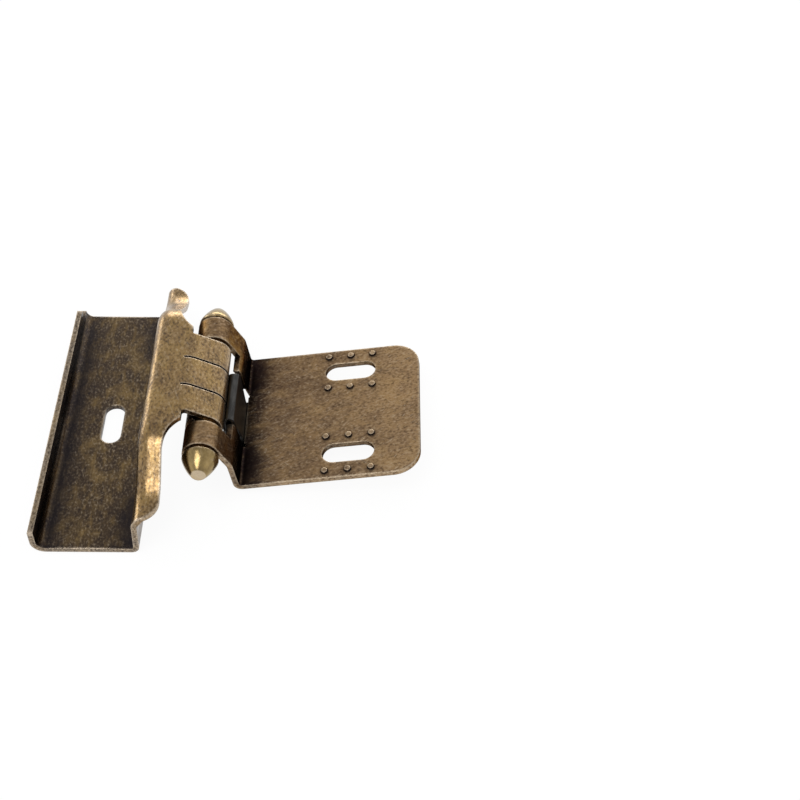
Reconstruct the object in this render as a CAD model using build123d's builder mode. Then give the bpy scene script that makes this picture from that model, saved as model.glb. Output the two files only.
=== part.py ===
"""Self-closing overlay hinge, shown open: frame wing, door leaf, pin with two tips and closing spring.

Millimetres. +X runs from the cabinet's inside to its front, +Y along the pin, +Z up out of the frame plate.
The origin is the middle of the frame plate's slot, on the face that meets the face frame.
"""
import math
import os

from build123d import *

# driving dimensions: frame wing
sheet = 1.2
wing_length = 70.0
frame_gap = 20.1
slot_to_strap = 9.1
frame_slot_width = 4.4
frame_slot_length = 11.4
lip_height = 5.0
lip_short = 3.4
lip_bend = 1.8
plate_bend = 0.5
strap_lean = 2.3
window_gap = 0.7
window_top = 9.0
window_back = 0.8
window_corner = 1.4
ear_height = 9.9
ear_width = 5.85
ear_corner = 5.0
ear_flat = 2.2
ear_sweep = 12.0
arch_slope = 38.0
crown_sweep = 9.0
shoulder_radius = 3.0
crest_place = 9.6
crest_radius = 6.0
crest_fall = 26.0
crest_width = 9.25
crest_half = 13.65
flank_radius = 9.6
nook_radius = 0.6
frame_knuckle_length = 22.9
score_place = 4.1
score_width = 0.5
score_depth = 0.45
score_wrap = 234.0

# driving dimensions: pin and tips
pin_forward = 13.45
pin_height = 11.4
pin_radius = 2.81
grip = 0.01
running_gap = 0.05
knuckle_radius = 4.0
roll_angle = 300.0
tip_gap = 0.7
tip_length = 4.85
tip_rim = 0.15
tip_base_radius = 3.9
tip_waist_radius = 2.95
tip_flat_radius = 1.35
spigot_radius = 1.6
spigot_length = 2.6

# driving dimensions: door leaf
leaf_width = 38.1
leaf_tilt = 9.0
leaf_drop = 10.9
leaf_reach = 45.2
leaf_corner = 6.0
leaf_bend = 0.6
neck_place = 5.8
neck_lean = 20.0
lean_bend = 3.0
leaf_knuckle_inner = 12.6
door_slot_place = 29.4
door_slot_spread = 24.5
door_slot_width = 5.2
door_slot_length = 11.5
nib_step = 5.06
nib_row = 4.88
nib_radius = 0.7
nib_height = 0.4
tab_inner = 8.0
tab_top = -3.0
tab_gap = 0.3
tongue_half = 6.9
tongue_root_half = 7.4
tongue_edge = 5.9
relief_half = 10.8
relief_edge = 4.4
relief_rise = 1.9

# driving dimensions: closing spring
spring_sheet = 0.7
spring_low = -7.9
spring_high = 6.7
spring_ear = 1.9
spring_foot = 10.0
spring_inner_end = 11.5
hook_bend = 1.1
nose_radius = 1.2
nose_angle = -30.0
nose_bevel = 1.0
nose_bevel_depth = 1.8
leg_taper = 1.8
leg_taper_start = 3.8
leg_taper_end = 9.4

# places worked out from the dimensions
beyond = 2 * wing_length
half_wing = wing_length / 2
half_leaf = leaf_width / 2
strap_x = slot_to_strap
lip_x = strap_x - frame_gap
pin_x = strap_x + pin_forward
pin_point = (pin_x, 0, pin_height)
tip_start = half_leaf + tip_gap
tip_end = tip_start + tip_length
turn = math.radians(leaf_tilt)
along_leaf = (math.cos(turn), 0, math.sin(turn))
leaf_normal = (-math.sin(turn), 0, math.cos(turn))
leaf_section = Plane(origin=pin_point, x_dir=along_leaf, z_dir=(0, -1, 0))
leaf_plan = Plane(origin=pin_point, x_dir=along_leaf, z_dir=leaf_normal)


def sheet_profile(start, heading, moves, thickness, left):
    """Draw the closed edge of a folded strip; a move is a length, or a (radius, angle) bend."""
    side = 1 if left else -1
    end_points = []
    for shift in (0.0, thickness):
        angle = math.radians(heading)
        normal = (-math.sin(angle) * side, math.cos(angle) * side)
        point = Vector(start[0] + normal[0] * shift, start[1] + normal[1] * shift)
        end_points.append(point)
        bearing = heading
        for move in moves:
            angle = math.radians(bearing)
            ahead = Vector(math.cos(angle), math.sin(angle))
            if isinstance(move, tuple):
                radius, bend = move
                inward = side if bend > 0 else -side
                arc = JernArc(start=point, tangent=ahead, radius=radius - inward * shift, arc_size=bend)
                point = arc @ 1
                bearing += bend
            else:
                straight = Line(point, point + ahead * move)
                point = straight @ 1
        end_points.append(point)
    Line(end_points[0], end_points[2])
    Line(end_points[1], end_points[3])


# the crown's flat top and the fall to the knuckle meet at the crest
fall = math.radians(crest_fall)
pin_reach = math.sin(fall) * pin_forward + math.cos(fall) * pin_height + knuckle_radius
crown_height = (pin_reach - math.sin(fall) * crest_place) / math.cos(fall)
crest_cut = crest_radius * math.tan(fall / 2)
crest_x = strap_x + crest_place - crest_cut
touch = (pin_forward + knuckle_radius * math.sin(fall), pin_height + knuckle_radius * math.cos(fall))
fall_length = math.hypot(touch[0] - crest_place, touch[1] - crown_height) - crest_cut

# the arch over the strap: flat ears, a sweep up, a slope and a flat crown
lean = math.radians(strap_lean)
slope = math.radians(arch_slope)
flat_half = half_wing - ear_flat
sweep_rise = (ear_sweep + crown_sweep) * (1 - math.cos(slope))
sweep_run = (ear_sweep + crown_sweep) * math.sin(slope)
slope_run = (crown_height - ear_height - sweep_rise) / math.tan(slope)
crown_half = flat_half - sweep_run - slope_run
wall_foot = plate_bend + sheet / 2


def wall_point(height, inset):
    """A point of the leaning strap, inset from its inner face."""
    return (strap_x + (height * math.sin(lean) + inset) / math.cos(lean), height)


def arch_outline(inset, side, floor):
    """Draw the arch's closed front outline, drawn in from its outside by an inset."""
    for end in (-1, 1):
        tilt = end * arch_slope
        ear_centre = (end * flat_half, ear_height + ear_sweep)
        crown_centre = (end * crown_half, crown_height - crown_sweep)
        up_sweep = CenterArc(ear_centre, ear_sweep + inset, -90, -tilt)
        down_sweep = CenterArc(crown_centre, crown_sweep - inset, 90 - tilt, tilt)
        Line(up_sweep @ 1, down_sweep @ 0)
        Polyline(up_sweep @ 0, (end * side, ear_height - inset), (end * side, floor))
    Line((-crown_half, crown_height - inset), (crown_half, crown_height - inset))
    Line((-side, floor), (side, floor))


def build_hood(inset, margin):
    """The solid under the arch, its shoulder rounded outside and cut aslant inside."""
    low = ear_height - inset
    crown = crown_height - inset
    foot = wall_foot - margin
    side = half_wing + margin
    with BuildPart() as hood:
        with BuildSketch(Plane.XZ):
            with BuildLine():
                Polyline(
                    wall_point(foot, inset),
                    wall_point(crown_height + margin + sheet, inset),
                    (crest_x, crown_height + margin + sheet),
                    (crest_x, crown),
                )
                crest = JernArc((crest_x, crown), (1, 0), crest_radius - inset, -crest_fall)
                run = crest @ 1 + (crest % 1) * (sheet + margin)
                Polyline(crest @ 1, run, (run.X, foot), wall_point(foot, inset))
            make_face()
        extrude(amount=side, both=True)
        with BuildSketch(Plane.YZ):
            with BuildLine():
                arch_outline(inset, side, -low)
            make_face()
        extrude(amount=beyond, mode=Mode.INTERSECT)
        if inset > 0:
            corner_cut = (2 - math.sqrt(2)) * (shoulder_radius - inset)
            drop = wall_point(crown, inset)[0] - strap_x + corner_cut
            aslant = Plane(origin=(strap_x, 0, -drop), x_dir=(0, 1, 0), z_dir=(1, 0, 0))
            with BuildSketch(aslant):
                with BuildLine():
                    arch_outline(inset, side, -beyond)
                make_face()
            extrude(amount=beyond, dir=(1, 0, 1), mode=Mode.INTERSECT)
        else:
            wall = hood.faces().sort_by(Axis.X)[0]
            shoulder = wall.edges().filter_by_position(Axis.Z, low - plate_bend, crown_height + sheet)
            fillet(shoulder, shoulder_radius)
    return hood.part


# frame wing: lip, plate, windowed strap, arched hood and centre knuckle folded from one strip
strap_turn = 90 - strap_lean
plate_cut = plate_bend * math.tan(math.radians(strap_turn) / 2)
plate_moves = [
    lip_height - lip_bend,
    (lip_bend, 90),
    frame_gap - lip_bend - plate_cut,
    (plate_bend, strap_turn),
    wall_foot,
]
knuckle_moves = [
    crest_cut,
    (crest_radius, -crest_fall),
    fall_length,
    (knuckle_radius, -roll_angle),
]
score_lift = score_depth / 4
score_moves = [
    (crest_radius + score_lift, -crest_fall),
    fall_length,
    (knuckle_radius + score_lift, -score_wrap),
]
knuckle_half = frame_knuckle_length / 2
flank_step = crest_width - ear_width
flank_angle = math.acos(1 - flank_step / flank_radius)
flank_start = crest_half + flank_radius * math.sin(flank_angle)

with BuildPart() as frame_wing:
    add(build_hood(0, 0))
    add(build_hood(sheet, sheet), mode=Mode.SUBTRACT)
    # each ear trimmed in plan: rounded at its end, swept in to the crest and stopped at the knuckle
    for end in (-1, 1):
        with BuildSketch(Plane.XY.offset(ear_height - shoulder_radius)):
            with BuildLine():
                ear_end = (strap_x + ear_width - ear_corner, end * half_wing)
                ear_side = (strap_x + ear_width, end * (half_wing - ear_corner))
                flank_top = (strap_x + ear_width, end * flank_start)
                nook_top = (strap_x + crest_width, end * (knuckle_half + nook_radius))
                nook_end = (strap_x + crest_width + nook_radius, end * knuckle_half)
                RadiusArc(ear_end, ear_side, end * ear_corner)
                Line(ear_side, flank_top)
                flank = JernArc(flank_top, (0, -end), flank_radius, end * math.degrees(flank_angle))
                Line(flank @ 1, nook_top)
                RadiusArc(nook_top, nook_end, -end * nook_radius)
                Polyline(
                    nook_end,
                    (strap_x + beyond, end * knuckle_half),
                    (strap_x + beyond, end * beyond),
                    (ear_end[0], end * beyond),
                    ear_end,
                )
            make_face()
        extrude(amount=beyond, mode=Mode.SUBTRACT)
    with BuildSketch(Plane.XZ):
        with BuildLine():
            sheet_profile((lip_x, lip_height), -90, plate_moves, sheet, left=False)
        make_face()
    extrude(amount=half_wing, both=True)
    with BuildSketch(Plane.XZ):
        with BuildLine():
            sheet_profile((crest_x - crest_cut, crown_height), 0, knuckle_moves, sheet, left=False)
        make_face()
    extrude(amount=knuckle_half, both=True)
    # window in the strap for the closed leaf and the spring
    with BuildSketch(Plane.YZ.offset(strap_x - window_back)):
        with Locations((0, (window_top - 2 * sheet) / 2)):
            RectangleRounded(2 * (half_leaf + window_gap), window_top + 2 * sheet, window_corner)
    extrude(amount=window_back + 2 * sheet, mode=Mode.SUBTRACT)
    # the lip stops short at its far end
    with Locations((lip_x, half_wing, lip_bend + lip_height)):
        Box(4 * sheet, 2 * lip_short, 2 * lip_height, mode=Mode.SUBTRACT)
    with BuildSketch(Plane.XY.offset(-2 * sheet)):
        SlotOverall(frame_slot_length, frame_slot_width, rotation=90)
    extrude(amount=4 * sheet, mode=Mode.SUBTRACT)
    # scored bands on the centre knuckle
    for place in (-score_place, score_place):
        with BuildSketch(Plane.XZ.offset(-place)):
            with BuildLine():
                score_start = (crest_x, crown_height + score_lift)
                sheet_profile(score_start, 0, score_moves, score_depth + score_lift, left=False)
            make_face()
        extrude(amount=score_width / 2, both=True, mode=Mode.SUBTRACT)

# door leaf: plate, two necks and two rolled knuckles folded from one strip
lean_in = math.radians(neck_lean)
lean_length = (neck_place - knuckle_radius * math.cos(lean_in)) / math.sin(lean_in)
lean_foot = knuckle_radius * math.sin(lean_in) - lean_length * math.cos(lean_in)
lean_cut = lean_bend * math.tan(lean_in / 2)
leaf_moves = [
    leaf_reach - neck_place - leaf_bend,
    (leaf_bend, -90),
    lean_foot - lean_cut + leaf_drop - leaf_bend,
    (lean_bend, neck_lean),
    lean_length - lean_cut,
    (knuckle_radius, roll_angle),
]
fold = neck_place + leaf_bend
nib_places = [
    (door_slot_place + step, side * door_slot_spread / 2 + row)
    for side in (-1, 1)
    for row in (-nib_row, nib_row)
    for step in (-nib_step, 0, nib_step)
]

with BuildPart() as door_leaf:
    with BuildSketch(leaf_section):
        with BuildLine():
            sheet_profile((leaf_reach, -leaf_drop), 180, leaf_moves, sheet, left=True)
        make_face()
    extrude(amount=half_leaf, both=True)
    # running bore in the rolled knuckles
    with BuildSketch(leaf_section):
        Circle(pin_radius + running_gap)
    extrude(amount=half_leaf, both=True, mode=Mode.SUBTRACT)
    # open between the knuckles above the tabs, then right down between the tabs
    with BuildSketch(leaf_section):
        with Locations((0, tab_top + beyond / 2)):
            Rectangle(beyond, beyond)
        Circle(knuckle_radius + tab_gap)
    extrude(amount=leaf_knuckle_inner, both=True, mode=Mode.SUBTRACT)
    with BuildSketch(leaf_plan.offset(-leaf_drop - 2 * sheet)):
        with Locations((fold - beyond / 2, 0)):
            Rectangle(beyond, 2 * tab_inner)
    extrude(amount=beyond, mode=Mode.SUBTRACT)
    # relief notches under the tabs, and the spring's tongue between them
    with BuildSketch(leaf_plan.offset(-leaf_drop - 2 * sheet)):
        for end in (-1, 1):
            with BuildLine():
                Polyline(
                    (fold, end * tongue_root_half),
                    (relief_edge, end * relief_half),
                    (0, end * relief_half),
                    (0, end * tongue_root_half),
                    close=True,
                )
            make_face()
    extrude(amount=2 * sheet + relief_rise, mode=Mode.SUBTRACT)
    with BuildSketch(leaf_plan.offset(-leaf_drop - sheet)):
        with BuildLine():
            Polyline(
                (tongue_edge, -tongue_half),
                (fold, -tongue_root_half),
                (fold, tongue_root_half),
                (tongue_edge, tongue_half),
                close=True,
            )
        make_face()
    extrude(amount=sheet)
    # rounded outer corners
    upright_edges = door_leaf.edges().filter_by(Axis(pin_point, leaf_normal))
    fillet(upright_edges.group_by(Axis(pin_point, along_leaf))[-1], leaf_corner)
    with BuildSketch(leaf_plan.offset(-leaf_drop - 2 * sheet)):
        with Locations((door_slot_place, -door_slot_spread / 2), (door_slot_place, door_slot_spread / 2)):
            SlotOverall(door_slot_length, door_slot_width)
    extrude(amount=4 * sheet, mode=Mode.SUBTRACT)
    # raised nibs round the slots
    with BuildSketch(leaf_plan.offset(-leaf_drop)):
        with Locations(*nib_places):
            Circle(nib_radius)
    extrude(amount=nib_height)

# hinge pin with a turned spigot at each end
with BuildPart() as hinge_pin:
    with Locations(Location(pin_point, (90, 0, 0))):
        Cylinder(pin_radius, 2 * tip_start)
        Cylinder(spigot_radius, 2 * (tip_start + spigot_length))


def build_tip(end):
    """One bullet-shaped tip, pressed on the pin's spigot."""
    section = Plane(origin=pin_point, x_dir=(1, 0, 0), z_dir=(0, 0, -end))
    with BuildPart() as tip:
        with BuildSketch(section):
            with BuildLine():
                Polyline(
                    (0, tip_start + spigot_length),
                    (spigot_radius - grip, tip_start + spigot_length),
                    (spigot_radius - grip, tip_start),
                    (tip_base_radius - tip_rim, tip_start),
                    (tip_base_radius, tip_start + tip_rim),
                    (tip_base_radius, tip_start + 4 * tip_rim),
                    (tip_waist_radius, tip_start + tip_length / 2),
                    (tip_flat_radius, tip_end - tip_rim),
                    (tip_flat_radius - 2 * tip_rim, tip_end),
                    (0, tip_end),
                    close=True,
                )
            make_face()
        revolve(axis=Axis(pin_point, (0, 1, 0)))
    return tip


pin_tip_near = build_tip(-1)
pin_tip_far = build_tip(1)

# closing spring: a bent clip hooked round the leaf's tongue, with its nose on the centre knuckle
nose = math.radians(nose_angle)
nose_reach = knuckle_radius + running_gap + nose_radius
nose_x = nose_reach * math.cos(nose)
nose_z = nose_reach * math.sin(nose)
nose_top = nose_z + nose_radius
hook_z = -leaf_drop - sheet - spring_sheet
spring_moves = [
    spring_foot - (nose_x - nose_radius) - hook_bend,
    (hook_bend, -90),
    nose_z - hook_z - hook_bend,
    (nose_radius, -180),
    nose_z + spring_inner_end,
]
end_view = Plane(origin=pin_point, x_dir=(0, 1, 0), z_dir=along_leaf)
ear_low = spring_low - spring_ear
leg_x = nose_x - nose_radius + spring_sheet
with BuildPart() as closing_spring:
    with BuildSketch(leaf_section.offset(-ear_low)):
        with BuildLine():
            sheet_profile((spring_foot, hook_z), 180, spring_moves, spring_sheet, left=False)
        make_face()
    extrude(amount=-(spring_high - ear_low))
    # at the near end only the outer leg passes beside the tab
    with BuildSketch(leaf_plan.offset(hook_z)):
        with Locations((leg_x + spring_foot / 2, ear_low)):
            Rectangle(spring_foot, 2 * spring_ear)
    extrude(amount=leaf_drop + nose_radius + knuckle_radius, mode=Mode.SUBTRACT)
    # the nose's ends are bevelled
    for place, end in ((ear_low, 1), (spring_high, -1)):
        with BuildSketch(end_view):
            with BuildLine():
                Polyline(
                    (place, nose_top - nose_bevel_depth),
                    (place + end * nose_bevel, nose_top),
                    (place + end * nose_bevel, nose_top + spring_sheet),
                    (place - end * nose_bevel, nose_top + spring_sheet),
                    (place - end * nose_bevel, nose_top - nose_bevel_depth),
                    close=True,
                )
            make_face()
        extrude(amount=spring_foot, mode=Mode.SUBTRACT)
    # the inner leg narrows downwards
    for place, end in ((spring_low, 1), (spring_high, -1)):
        with BuildSketch(end_view.offset(nose_x)):
            with BuildLine():
                Polyline(
                    (place, -leg_taper_start),
                    (place + end * leg_taper, -leg_taper_end),
                    (place + end * leg_taper, -leaf_drop - sheet),
                    (place - end * leg_taper, -leaf_drop - sheet),
                    (place - end * leg_taper, -leg_taper_start),
                    close=True,
                )
            make_face()
        extrude(amount=nose_radius + spring_sheet, mode=Mode.SUBTRACT)

frame_wing.part.label = "frame_wing"
door_leaf.part.label = "door_leaf"
hinge_pin.part.label = "hinge_pin"
pin_tip_near.part.label = "pin_tip_near"
pin_tip_far.part.label = "pin_tip_far"
closing_spring.part.label = "closing_spring"

os.makedirs("parts", exist_ok=True)
export_step(frame_wing.part, "parts/frame_wing.step")
export_step(door_leaf.part, "parts/door_leaf.step")
export_step(hinge_pin.part, "parts/hinge_pin.step")
export_step(pin_tip_near.part, "parts/pin_tip_near.step")
export_step(pin_tip_far.part, "parts/pin_tip_far.step")
export_step(closing_spring.part, "parts/closing_spring.step")
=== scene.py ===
# %% [markdown]
# # A self-closing overlay hinge in antique brass
#
# A cabinet hinge is mostly finish: six plain metal pieces, and a plating that was darkened, tumbled and
# then rubbed bright where hands and tools touch it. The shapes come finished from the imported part, so this
# lesson gives them their metals, lays them on a pale table and sets the camera where the photograph was
# taken from.

# %% Load the hinge
import math

import bmesh
import bpy
from mathutils import Matrix, Vector


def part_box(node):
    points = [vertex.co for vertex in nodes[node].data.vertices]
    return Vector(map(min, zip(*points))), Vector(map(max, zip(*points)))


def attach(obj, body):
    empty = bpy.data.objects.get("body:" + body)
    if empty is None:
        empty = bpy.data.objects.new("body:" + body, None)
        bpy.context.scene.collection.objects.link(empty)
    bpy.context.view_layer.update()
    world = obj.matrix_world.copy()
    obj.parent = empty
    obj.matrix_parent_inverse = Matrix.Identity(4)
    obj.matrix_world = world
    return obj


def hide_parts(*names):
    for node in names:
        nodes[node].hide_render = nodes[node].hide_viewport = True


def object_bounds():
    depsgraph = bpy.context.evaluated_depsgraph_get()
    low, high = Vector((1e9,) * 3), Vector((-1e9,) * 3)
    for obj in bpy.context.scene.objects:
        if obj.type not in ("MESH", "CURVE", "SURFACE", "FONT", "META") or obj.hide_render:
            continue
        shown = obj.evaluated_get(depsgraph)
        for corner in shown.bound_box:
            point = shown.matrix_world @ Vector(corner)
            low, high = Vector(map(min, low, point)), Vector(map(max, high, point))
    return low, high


MM = 0.001

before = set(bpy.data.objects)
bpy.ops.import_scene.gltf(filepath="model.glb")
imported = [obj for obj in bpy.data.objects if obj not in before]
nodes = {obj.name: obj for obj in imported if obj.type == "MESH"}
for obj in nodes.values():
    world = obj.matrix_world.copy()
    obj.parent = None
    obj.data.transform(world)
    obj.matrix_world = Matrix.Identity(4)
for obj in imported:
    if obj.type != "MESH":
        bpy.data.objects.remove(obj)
cad_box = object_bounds()
print("pieces:", sorted(nodes))
print("box in mm:", [[round(value / MM, 1) for value in corner] for corner in cad_box])

# %% [markdown]
# ## Two small helpers
#
# Colours are easiest to read as the hex values of a colour picker, but shaders work in linear light, so
# one function turns the first into the second. A node tree is easiest to read when each node is one call
# that gives its settings and what is plugged into it, so one function adds a node that way.

# %% Colour and node helpers
def linear(hex_colour):
    """Turn an sRGB hex colour into the linear RGBA that sockets take, by the sRGB curve."""
    channels = [int(hex_colour[i:i + 2], 16) / 255 for i in (1, 3, 5)]
    curve = [c / 12.92 if c <= 0.04045 else ((c + 0.055) / 1.055) ** 2.4 for c in channels]
    return (*curve, 1.0)


def add_node(tree, kind, settings=None, **inputs):
    """Add a node, set its properties, then fill or link its inputs.

    An input goes by its name, with _ for a blank, or by its number, as in_0.
    """
    node = tree.nodes.new(kind)
    for name, value in (settings or {}).items():
        setattr(node, name, value)
    for name, value in inputs.items():
        key = int(name[3:]) if name.startswith("in_") else name.replace("_", " ")
        if isinstance(value, bpy.types.NodeSocket):
            tree.links.new(value, node.inputs[key])
        else:
            node.inputs[key].default_value = value
    return node


print("helpers ready, mid grey in linear light:", round(linear("#808080")[0], 3))

# %% [markdown]
# ## Antique brass plating
#
# The sheet is steel with a thin brass plate. The brass is blackened in a bath and then relieved: tumbling
# and brushing take the black off wherever they reach. The eye sees brown metal with soft clouds some
# millimetres wide, streaks along the direction in which the strip was brushed, a fine tumbled grain, and a
# few pale flecks and hairlines. Cut edges are rubbed down to pale metal, and the black stays in folds, in
# scored lines and round each nib.
#
# Clouds, streaks, grain and scratches are noise, stretched to sizes in millimetres. Wear could be painted
# on the vertices, but a folded sheet has too few of them. Ambient Occlusion needs none: it asks how much
# of a point's surroundings is near metal. Looking inwards it finds the cut edges, and looking outwards the
# folds. Both belong to the shape, so they hold from any side. The darkening laid into the folds and the
# sheltered walls is partly the bath's black and partly painted shade. A stack of layers then lays one
# colour over another, in the order in which the finish was made and worn.

# %% Patterns of the finish
EDGE_MM = 1.1
FOLD_MM = 9.0
CREVICE_MM = 0.9

# each pattern: its size in mm along, across and through the brushing, its turn from it in degrees, and its
# fine detail; the real grain and hairlines are too fine to show, so both are drawn coarser than they are
PATTERNS = {
    "cloud": ((6.5, 6.5, 6.5), 0.0, 6.0),
    "streak": ((4.5, 1.6, 1.6), 0.0, 6.0),
    "grain": ((0.7, 0.5, 0.5), 0.0, 4.0),
    "fleck": ((1.3, 0.35, 0.9), 35.0, 1.0),
    "hairline": ((5.0, 0.17, 5.0), 20.0, 1.0),
    "cross_hairline": ((5.0, 0.17, 5.0), -55.0, 1.0),
}
# each look at the surroundings: how far it goes, and whether it goes inwards through the metal
SURROUNDINGS = {
    "edge": (EDGE_MM, True),
    # the outward look lays painted shade into folds and hollows, over the bath's black there
    "fold": (FOLD_MM, False),
    "crevice": (CREVICE_MM, False),
}
print("patterns:", list(PATTERNS), "looks at the surroundings:", list(SURROUNDINGS))

# %% Layers of the finish
# each layer: what guides it, where it starts, where it is full, how much of it at most, and its colour
BATH_LAYERS = [
    ("cloud", 0.5, 0.25, 0.36, "black"),
    ("cloud", 0.5, 0.75, 0.36, "gold"),
    ("streak", 0.5, 0.22, 0.38, "black"),
    ("streak", 0.5, 0.78, 0.4, "gold"),
    ("grain", 0.5, 0.2, 0.55, "black"),
    ("grain", 0.5, 0.8, 0.6, "gold"),
]
RELIEF_WEAR_AND_SHADE_LAYERS = [
    ("cloud", 0.5, 0.72, 0.4, "gold"),
    ("streak", 0.5, 0.75, 0.38, "gold"),
    ("grain", 0.47, 0.22, 0.55, "soot"),
    ("grain", 0.54, 0.8, 0.38, "worn"),
    ("fleck", 0.66, 0.8, 0.38, "worn"),
    ("hairline", 0.69, 0.76, 0.35, "worn"),
    ("cross_hairline", 0.7, 0.77, 0.35, "worn"),
    ("worn_edge", 0.44, 0.26, 0.75, "worn"),
    # sheltered cut walls and folds: the bath's black, with painted shade laid over it
    ("black_and_shaded_wall", 0.3, 0.08, 0.75, "soot"),
    ("fold", 0.92, 0.48, 0.92, "soot"),
    ("crevice", 0.93, 0.6, 0.6, "soot"),
]
print(len(BATH_LAYERS), "layers from the bath and", len(RELIEF_WEAR_AND_SHADE_LAYERS), "from relief and wear")

# %% What guides the layers
LOOK_SAMPLES = 8
RAGGED = 0.5
SHELTER = 6.0


def layer_guides(tree, place, brushed_deg):
    """Make the patterns, the looks at the surroundings, and the worn walls and the black walls of bath black
    and painted shade that mix the two.
    """
    guides = {}
    for label, (size_mm, turn_deg, detail) in PATTERNS.items():
        # a Mapping of kind TEXTURE takes the pattern's own turn and size
        turned = add_node(
            tree,
            "ShaderNodeMapping",
            {"vector_type": "TEXTURE"},
            in_0=place,
            Rotation=(0.0, 0.0, math.radians(brushed_deg + turn_deg)),
            Scale=[size * MM for size in size_mm],
        )
        noise = add_node(tree, "ShaderNodeTexNoise", in_0=turned.outputs[0], Scale=1.0, Detail=detail)
        guides[label] = noise.outputs[0]
    for label, (reach_mm, inwards) in SURROUNDINGS.items():
        look = {"samples": LOOK_SAMPLES, "only_local": True, "inside": inwards}
        near = add_node(tree, "ShaderNodeAmbientOcclusion", look, Distance=reach_mm * MM)
        guides[label] = near.outputs["AO"]

    # an open edge wears raggedly, and a cut wall that a slot or a fold shelters stays black: the bath's
    # black, with painted shade laid over it
    shelter = add_node(
        tree,
        "ShaderNodeMath",
        {"operation": "MULTIPLY_ADD"},
        in_0=guides["fold"],
        in_1=-SHELTER,
        in_2=SHELTER,
    )
    ragged = add_node(
        tree,
        "ShaderNodeMath",
        {"operation": "MULTIPLY_ADD"},
        in_0=guides["grain"],
        in_1=-RAGGED,
        in_2=guides["edge"],
    )
    walls = (("worn_edge", "ADD", ragged.outputs[0]), ("black_and_shaded_wall", "SUBTRACT", guides["edge"]))
    for label, operation, base in walls:
        wall = add_node(
            tree,
            "ShaderNodeMath",
            {"operation": operation},
            in_0=base,
            in_1=shelter.outputs[0],
        )
        guides[label] = wall.outputs[0]
    return guides


print("edges are ragged by", RAGGED, "and sheltered by", SHELTER)

# %% Antique brass
ROUNDING_MM = 0.4
ROUNDING_SAMPLES = 4
PIT_DEPTH_MM = 0.04
PIT_STRENGTH = 0.2
STREAK_LOW = 0.3
STREAK_HIGH = 0.7
GLOSS_SWING = 0.06


def antique_brass(name, colours, roughness, brushed_deg, by_place=(), shares=None, rim="#ffffff"):
    """Relieved antique brass, brushed in a direction that is given in degrees from X.

    by_place adds layers by the distance from a point, along the axes that count: with one axis left out
    that is the distance from a line, and with two left out from a plane. shares makes more or less of a
    layer on this piece. rim tints what the metal mirrors at a grazing angle.
    """
    material = bpy.data.materials.new(name)
    material.use_nodes = True
    tree = material.node_tree
    shader = tree.nodes["Principled BSDF"]
    place = add_node(tree, "ShaderNodeTexCoord").outputs["Object"]
    guides = layer_guides(tree, place, brushed_deg)

    place_layers = []
    for axes, centre_mm, start_mm, full_mm, most, colour_name in by_place:
        flat = add_node(tree, "ShaderNodeVectorMath", {"operation": "MULTIPLY"}, in_0=place, in_1=axes)
        distance = add_node(
            tree,
            "ShaderNodeVectorMath",
            {"operation": "DISTANCE"},
            in_0=flat.outputs[0],
            in_1=[value * MM for value in centre_mm],
        )
        label = "place " + str(len(place_layers))
        guides[label] = distance.outputs["Value"]
        place_layers.append((label, start_mm * MM, full_mm * MM, most, colour_name))

    colour = linear(colours["body"])
    for label, start, full, most, colour_name in BATH_LAYERS + place_layers + RELIEF_WEAR_AND_SHADE_LAYERS:
        most = most * (shares or {}).get(label, 1.0)
        share = add_node(tree, "ShaderNodeMapRange", in_0=guides[label], in_1=start, in_2=full, in_4=most)
        blend = add_node(
            tree,
            "ShaderNodeMix",
            {"data_type": "RGBA"},
            in_0=share.outputs[0],
            in_6=colour,
            in_7=linear(colours[colour_name]),
        )
        colour = blend.outputs[2]

    gloss = add_node(
        tree,
        "ShaderNodeMapRange",
        in_0=guides["streak"],
        in_1=STREAK_LOW,
        in_2=STREAK_HIGH,
        in_3=roughness + GLOSS_SWING,
        in_4=roughness - GLOSS_SWING,
    )
    rounded = add_node(tree, "ShaderNodeBevel", {"samples": ROUNDING_SAMPLES}, Radius=ROUNDING_MM * MM)
    relief = add_node(
        tree,
        "ShaderNodeBump",
        Strength=PIT_STRENGTH,
        Distance=PIT_DEPTH_MM * MM,
        Height=guides["grain"],
        Normal=rounded.outputs[0],
    )
    tree.links.new(colour, shader.inputs["Base Color"])
    tree.links.new(gloss.outputs[0], shader.inputs["Roughness"])
    tree.links.new(relief.outputs[0], shader.inputs["Normal"])
    shader.inputs["Metallic"].default_value = 1.0
    shader.inputs["Specular Tint"].default_value = linear(rim)
    return material


print("antique brass: pits of", PIT_DEPTH_MM, "mm, edges rounded by", ROUNDING_MM, "mm")

# %% [markdown]
# ## Four brasses from one bath
#
# Wing, leaf, pin and tips went through the same bath, but the brush and the tumbling reached them
# differently. The wing's hood is brushed, and the channel below it is painted dark: partly the bath's black
# left there, partly painted shade of the lip and hood round it. The leaf is painted darker towards its fold,
# as painted shade of the neck and barrel over it, also in what it mirrors there at a grazing angle. The pin
# hardly shows. The tips are rubbed brightest, most of all on their flat ends. So one function makes them
# all, and each brass only gives its colours, its gloss and where it is darker or paler.

# %% Brass for the wing, the leaf, the pin and the tips
ORIGIN_MM = (0.0, 0.0, 0.0)
UPWARDS = (0.0, 0.0, 1.0)
ALONG_PIN = (0.0, 1.0, 0.0)
ACROSS_FOLD = (1.0, 0.0, 1.0)
LEAF_FOLD_MM = (30.6, 0.0, 1.6)
# where each layer by place starts and where it is full, as distances in mm
CHANNEL_SOOT_AND_SHADE_MM = (9.0, 5.0)
PAINTED_FOLD_SHADE_MM = (34.0, 3.0)
FOLD_SOOT_AND_SHADE_MM = (5.0, 1.5)
RUBBED_END_MM = (24.4, 24.55)

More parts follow.
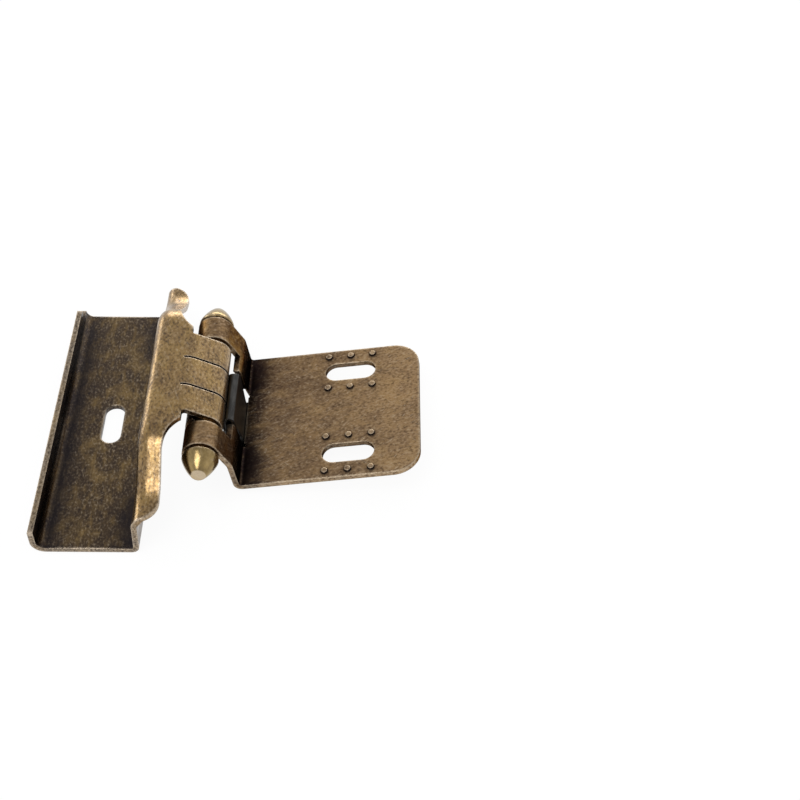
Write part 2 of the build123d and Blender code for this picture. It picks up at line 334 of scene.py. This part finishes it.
wing_brass = antique_brass(
    "antique_brass_wing",
    {"soot": "#262327", "black": "#3d3735", "body": "#917651", "gold": "#ab8d59", "worn": "#cbbba6"},
    roughness=0.27,
    brushed_deg=90.0,
    # the channel below the hood is painted darker: partly the bath's black left in the hollow, partly
    # painted shade of the lip and hood round it
    by_place=[(UPWARDS, ORIGIN_MM, *CHANNEL_SOOT_AND_SHADE_MM, 0.75, "soot")],
    shares={"grain": 1.2, "cloud": 0.9},
)
leaf_brass = antique_brass(
    "antique_brass_leaf",
    {"soot": "#211a1b", "black": "#40322c", "body": "#987d5e", "gold": "#ad8d62", "worn": "#cdbda6"},
    roughness=0.33,
    brushed_deg=12.0,
    by_place=[
        # painted shade: the leaf is darkened towards its fold, where the neck and barrel shade it and darken
        # what it mirrors
        (ACROSS_FOLD, LEAF_FOLD_MM, *PAINTED_FOLD_SHADE_MM, 0.6, "black"),
        # right at the fold the bath's black, with painted shade laid over it
        (ACROSS_FOLD, LEAF_FOLD_MM, *FOLD_SOOT_AND_SHADE_MM, 0.75, "soot"),
    ],
    shares={"worn_edge": 0.75},
    rim="#6b5c4c",
)
pin_brass = antique_brass(
    "antique_brass_pin",
    {"soot": "#1c1714", "black": "#2c2520", "body": "#6d573c", "gold": "#8a7048", "worn": "#b09a78"},
    roughness=0.36,
    brushed_deg=90.0,
)
tip_brass = antique_brass(
    "antique_brass_rubbed_tip",
    {"soot": "#2a221a", "black": "#4f422f", "body": "#927d55", "gold": "#a8905f", "worn": "#d2c0a6"},
    roughness=0.2,
    brushed_deg=90.0,
    by_place=[(ALONG_PIN, ORIGIN_MM, *RUBBED_END_MM, 0.7, "worn")],
    shares={"grain": 0.35, "fleck": 0.3, "worn_edge": 0.8},
)
print("brass finishes:", [m.name for m in (wing_brass, leaf_brass, pin_brass, tip_brass)])

# %% [markdown]
# ## Oil-blackened spring steel
#
# The closing spring is hard strip steel, blackened in oil and left bare of brass. It is nearly neutral,
# darker than the brass, and a little greasy: soft highlights, and a few rubbed grey streaks along the pin.
# It has no plating to wear through, so the stack of layers would be wasted on it, and one streaked noise
# between two greys is enough.

# %% Spring steel
STEEL_STREAK_MM = (0.8, 4.0, 0.8)
STEEL_DETAIL = 4.0
STEEL_ROUGHNESS = 0.34
RUBBED_FROM = 0.4
RUBBED_FULL = 0.7
RUBBED_MOST = 0.7


def spring_steel(name):
    """Dark strip steel with rubbed streaks along the pin's direction."""
    material = bpy.data.materials.new(name)
    material.use_nodes = True
    tree = material.node_tree
    shader = tree.nodes["Principled BSDF"]
    place = add_node(tree, "ShaderNodeTexCoord").outputs["Object"]
    strip = add_node(
        tree,
        "ShaderNodeMapping",
        {"vector_type": "TEXTURE"},
        in_0=place,
        Scale=[size * MM for size in STEEL_STREAK_MM],
    )
    streak = add_node(tree, "ShaderNodeTexNoise", in_0=strip.outputs[0], Scale=1.0, Detail=STEEL_DETAIL)
    rubbed = add_node(
        tree,
        "ShaderNodeMapRange",
        in_0=streak.outputs[0],
        in_1=RUBBED_FROM,
        in_2=RUBBED_FULL,
        in_4=RUBBED_MOST,
    )
    colour = add_node(
        tree,
        "ShaderNodeMix",
        {"data_type": "RGBA"},
        in_0=rubbed.outputs[0],
        in_6=linear("#343332"),
        in_7=linear("#565553"),
    )
    rounded = add_node(tree, "ShaderNodeBevel", {"samples": ROUNDING_SAMPLES}, Radius=ROUNDING_MM * MM)
    tree.links.new(colour.outputs[2], shader.inputs["Base Color"])
    tree.links.new(rounded.outputs[0], shader.inputs["Normal"])
    shader.inputs["Metallic"].default_value = 1.0
    shader.inputs["Roughness"].default_value = STEEL_ROUGHNESS
    return material


blackened_steel = spring_steel("oil_blackened_spring_steel")
print("spring finish:", blackened_steel.name)

# %% [markdown]
# ## Bullet tips
#
# Each end of the pin carries a small turned tip: a short straight collar, a side that curves in like a
# bullet, and a flat end. A cone with its edges bevelled would come near, but its side would stay straight.
# A lathe makes the tip from one profile, and so does Spin. First one vertex is spun about the centre of
# the side's arc, which draws the curve. Then the collar and the flat end are joined to it, and the
# finished profile is spun about the pin. Length, foot and place are read from the solid that the tip
# stands for.

# %% Profile of a tip
TIP_COLLAR_MM = 0.6
TIP_RIM_MM = 0.15
TIP_FLAT_MM = 1.65
TIP_ARC_MM = 13.0
TIP_ARC_STEPS = 12


def tip_profile(shape, node_name):
    """Draw half of a tip's outline, from foot to flat end, and return the middle of its foot."""
    low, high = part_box(node_name)
    axis_x = (low[0] + high[0]) / 2
    axis_z = (low[2] + high[2]) / 2
    base_radius = (high[0] - low[0]) / 2
    foot, end = (low[1], high[1]) if low[1] > 0 else (high[1], low[1])
    out = 1 if end > foot else -1
    collar_end = Vector((axis_x + base_radius, foot + out * TIP_COLLAR_MM * MM, axis_z))
    flat_rim = Vector((axis_x + TIP_FLAT_MM * MM, end - out * TIP_RIM_MM * MM, axis_z))

    # the arc's centre lies on the pin's side of the chord's middle
    chord = flat_rim - collar_end
    inward = Vector((-abs(chord.y), -out * abs(chord.x), 0)).normalized()
    depth = math.sqrt((TIP_ARC_MM * MM) ** 2 - (chord.length / 2) ** 2)
    arc_centre = (collar_end + flat_rim) / 2 + inward * depth
    arc_angle = (collar_end - arc_centre).angle(flat_rim - arc_centre)

    start = shape.verts.new(collar_end)
    arc = bmesh.ops.spin(
        shape,
        geom=[start],
        cent=arc_centre,
        axis=(0, 0, 1),
        angle=out * arc_angle,
        steps=TIP_ARC_STEPS,
    )
    last = [item for item in arc["geom_last"] if isinstance(item, bmesh.types.BMVert)][0]
    collar_start = shape.verts.new((axis_x + base_radius, foot + out * TIP_RIM_MM * MM, axis_z))
    foot_rim = shape.verts.new((axis_x + base_radius - TIP_RIM_MM * MM, foot, axis_z))
    foot_centre = shape.verts.new((axis_x, foot, axis_z))
    end_rim = shape.verts.new((axis_x + (TIP_FLAT_MM - TIP_RIM_MM) * MM, end, axis_z))
    end_centre = shape.verts.new((axis_x, end, axis_z))
    collar = [foot_centre, foot_rim, collar_start, start]
    flat_end = [last, end_rim, end_centre]
    for chain in (collar, flat_end):
        for one, other in zip(chain, chain[1:]):
            shape.edges.new((one, other))
    return (axis_x, foot, axis_z)


print("a tip's side is an arc of", TIP_ARC_MM, "mm radius in", TIP_ARC_STEPS, "steps")

# %% Bullet tips
TIP_TURN_STEPS = 64
WELD_MM = 0.001
SHARP_DEG = 30.0


def bullet_tip(name, node_name):
    """Turn a smooth bullet tip in place of a solid one, with its flat end away from the hinge."""
    shape = bmesh.new()
    foot_middle = tip_profile(shape, node_name)
    bmesh.ops.spin(
        shape,
        geom=shape.verts[:] + shape.edges[:],
        cent=foot_middle,
        axis=(0, 1, 0),
        angle=2 * math.pi,
        steps=TIP_TURN_STEPS,
        use_merge=True,
    )
    bmesh.ops.remove_doubles(shape, verts=shape.verts[:], dist=WELD_MM * MM)
    bmesh.ops.recalc_face_normals(shape, faces=shape.faces[:])
    for face in shape.faces:
        face.smooth = True
    mesh = bpy.data.meshes.new(name)
    shape.to_mesh(mesh)
    shape.free()
    mesh.set_sharp_from_angle(angle=math.radians(SHARP_DEG))
    mesh.materials.append(tip_brass)
    tip = bpy.data.objects.new(name, mesh)
    bpy.context.scene.collection.objects.link(tip)
    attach(tip, "frame_side")
    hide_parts(node_name)
    return tip


for tip_name, node_name in (("near_bullet_tip", "pin_tip_near"), ("far_bullet_tip", "pin_tip_far")):
    tip = bullet_tip(tip_name, node_name)
    print(tip_name, "has", len(tip.data.polygons), "faces and stands for", node_name)

# %% [markdown]
# ## A metal for each piece
#
# The other solids have the right shapes already. They could be copied and dressed, but a copy gains
# nothing here, so each keeps its mesh and only gets its metal in its material slots.

# %% Give each piece its metal
# the two solid tips are hidden by their turned ones, and get the same metal
finishes = {
    "frame_wing": wing_brass,
    "door_leaf": leaf_brass,
    "hinge_pin": pin_brass,
    "pin_tip_near": tip_brass,
    "pin_tip_far": tip_brass,
    "closing_spring": blackened_steel,
}
for node_name, finish in finishes.items():
    for slot in nodes[node_name].material_slots:
        slot.material = finish
    print(node_name, "->", finish.name)

# %% [markdown]
# ## A pale table and soft light
#
# The photograph is a product shot on white paper. A wide floor of near-white takes the shadow. Stronger
# lamps would turn it white, and bleach the brass as well. Light Path lets the floor and the sky show as
# plain white to the camera and in the metal, without pouring more light on the scene: one mask is built
# from its camera, glossy and transmission rays, and the same mask serves the floor and the world. Bare
# metal is only as lively as what it mirrors, so the studio is white round the horizon and falls off to
# grey above, and three soft lamps, one overhead and two low at the back and left, draw the highlights.

# %% Floor
FLOOR_REACH_M = 3.0
PAPER_ROUGHNESS = 0.9
# how much of the lit paper shows through its plain white, which keeps the shadow
SHADOW_SHARE = 0.07


def seen_rays(tree):
    """Give 1 for a ray from the camera, off a reflection or through glass, and 0 for any other."""
    path = add_node(tree, "ShaderNodeLightPath").outputs
    seen = path["Is Camera Ray"]
    for kind in ("Is Glossy Ray", "Is Transmission Ray"):
        either = add_node(tree, "ShaderNodeMath", {"operation": "MAXIMUM"}, in_0=seen, in_1=path[kind])
        seen = either.outputs[0]
    return seen


floor_mesh = bpy.data.meshes.new("paper_floor")
shape = bmesh.new()
bmesh.ops.create_grid(shape, x_segments=1, y_segments=1, size=FLOOR_REACH_M)
bmesh.ops.translate(shape, verts=shape.verts, vec=(0, 0, cad_box[0][2]))
shape.to_mesh(floor_mesh)
shape.free()
floor = bpy.data.objects.new("paper_floor", floor_mesh)
bpy.context.scene.collection.objects.link(floor)

paper = bpy.data.materials.new("white_paper")
paper.use_nodes = True
tree = paper.node_tree
matte = tree.nodes["Principled BSDF"]
matte.inputs["Base Color"].default_value = linear("#f7f7f7")
matte.inputs["Roughness"].default_value = PAPER_ROUGHNESS
white = add_node(tree, "ShaderNodeEmission", Color=linear("#ffffff"), Strength=1.0)
white_share = add_node(tree, "ShaderNodeMapRange", in_0=seen_rays(tree), in_4=1 - SHADOW_SHARE)
sheet = add_node(
    tree, "ShaderNodeMixShader", in_0=white_share.outputs[0], in_1=matte.outputs[0], in_2=white.outputs[0]
)
tree.links.new(sheet.outputs[0], tree.nodes["Material Output"].inputs["Surface"])
floor_mesh.materials.append(paper)
print("floor at", round(cad_box[0][2] / MM, 2), "mm")

# %% World
SKY_LIGHT = 0.9
OVERHEAD_GREY = 0.62
# how high a direction points, from 0 at the horizon to 1 straight up
WHITE_UP_TO = 0.3
GREY_FROM = 0.85

scene = bpy.context.scene
scene.view_settings.view_transform = "Standard"
world = bpy.data.worlds.new("studio")
scene.world = world
world.use_nodes = True
tree = world.node_tree
sky = tree.nodes["Background"]
sky.inputs["Color"].default_value = linear("#ffffff")
direction = add_node(tree, "ShaderNodeTexCoord").outputs["Generated"]
rise = add_node(tree, "ShaderNodeSeparateXYZ", in_0=direction).outputs[2]
shown = add_node(
    tree, "ShaderNodeMapRange", in_0=rise, in_1=WHITE_UP_TO, in_2=GREY_FROM, in_3=1.0, in_4=OVERHEAD_GREY
)
strength = add_node(
    tree, "ShaderNodeMapRange", in_0=seen_rays(tree), in_3=SKY_LIGHT, in_4=shown.outputs[0]
)
tree.links.new(strength.outputs[0], sky.inputs["Strength"])
print("sky light", SKY_LIGHT, "shown as white that falls to", OVERHEAD_GREY, "overhead")

# %% Lamps
middle = Vector([(low + high) / 2 for low, high in zip(*cad_box)])


def softbox(name, offset, width, height, power):
    """Hang a soft rectangular lamp that looks at the hinge's middle, in metres and watts."""
    lamp = bpy.data.lights.new(name, "AREA")
    lamp.shape = "RECTANGLE"
    lamp.size = width
    lamp.size_y = height
    lamp.energy = power
    lamp_object = bpy.data.objects.new(name, lamp)
    lamp_object.location = middle + Vector(offset)
    aim = (middle - lamp_object.location).to_track_quat("-Z", "Y")
    lamp_object.rotation_euler = aim.to_euler()
    scene.collection.objects.link(lamp_object)


softbox("overhead_softbox", offset=(-0.12, -0.2, 0.5), width=0.28, height=0.28, power=1.0)
softbox("low_back_softbox", offset=(0.05, 0.55, 0.14), width=0.5, height=0.2, power=1.2)
softbox("low_left_softbox", offset=(-0.5, 0.4, 0.08), width=0.4, height=0.12, power=0.45)

# %% [markdown]
# ## The view of the photograph
#
# The camera stands in front of the pin's near end and looks down on the open hinge. Its place, aim and
# lens were worked out from straight edges of the hinge, so a corner of the part lands where the photograph
# shows it. Aiming it at one point would lose the slight roll of the picture, so its three axes are built
# from the angles instead.

# %% Camera
CAMERA_PLACE_MM = (60.90, -210.59, 233.73)
CAMERA_AZIMUTH_DEG = 0.994
CAMERA_ELEVATION_DEG = 46.895
CAMERA_ROLL_DEG = 1.229
CAMERA_LENS_MM = 62.66
SENSOR_WIDTH_MM = 36.0
CLIP_START_M = 0.01

azimuth = math.radians(CAMERA_AZIMUTH_DEG)
elevation = math.radians(CAMERA_ELEVATION_DEG)
roll = math.radians(CAMERA_ROLL_DEG)
ahead = Vector(
    (
        math.sin(azimuth) * math.cos(elevation),
        math.cos(azimuth) * math.cos(elevation),
        -math.sin(elevation),
    )
)
level_right = ahead.cross(Vector((0, 0, 1))).normalized()
level_up = level_right.cross(ahead)
right = level_right * math.cos(roll) + level_up * math.sin(roll)
up = level_up * math.cos(roll) - level_right * math.sin(roll)
camera_data = bpy.data.cameras.new("photo_camera")
camera_data.lens = CAMERA_LENS_MM
camera_data.sensor_width = SENSOR_WIDTH_MM
camera_data.clip_start = CLIP_START_M
camera = bpy.data.objects.new("photo_camera", camera_data)
turn = Matrix((right, up, -ahead)).transposed().to_4x4()
camera.matrix_world = Matrix.Translation(Vector(CAMERA_PLACE_MM) * MM) @ turn
scene.collection.objects.link(camera)
scene.camera = camera
print("camera at", CAMERA_PLACE_MM, "mm, lens", CAMERA_LENS_MM, "mm")
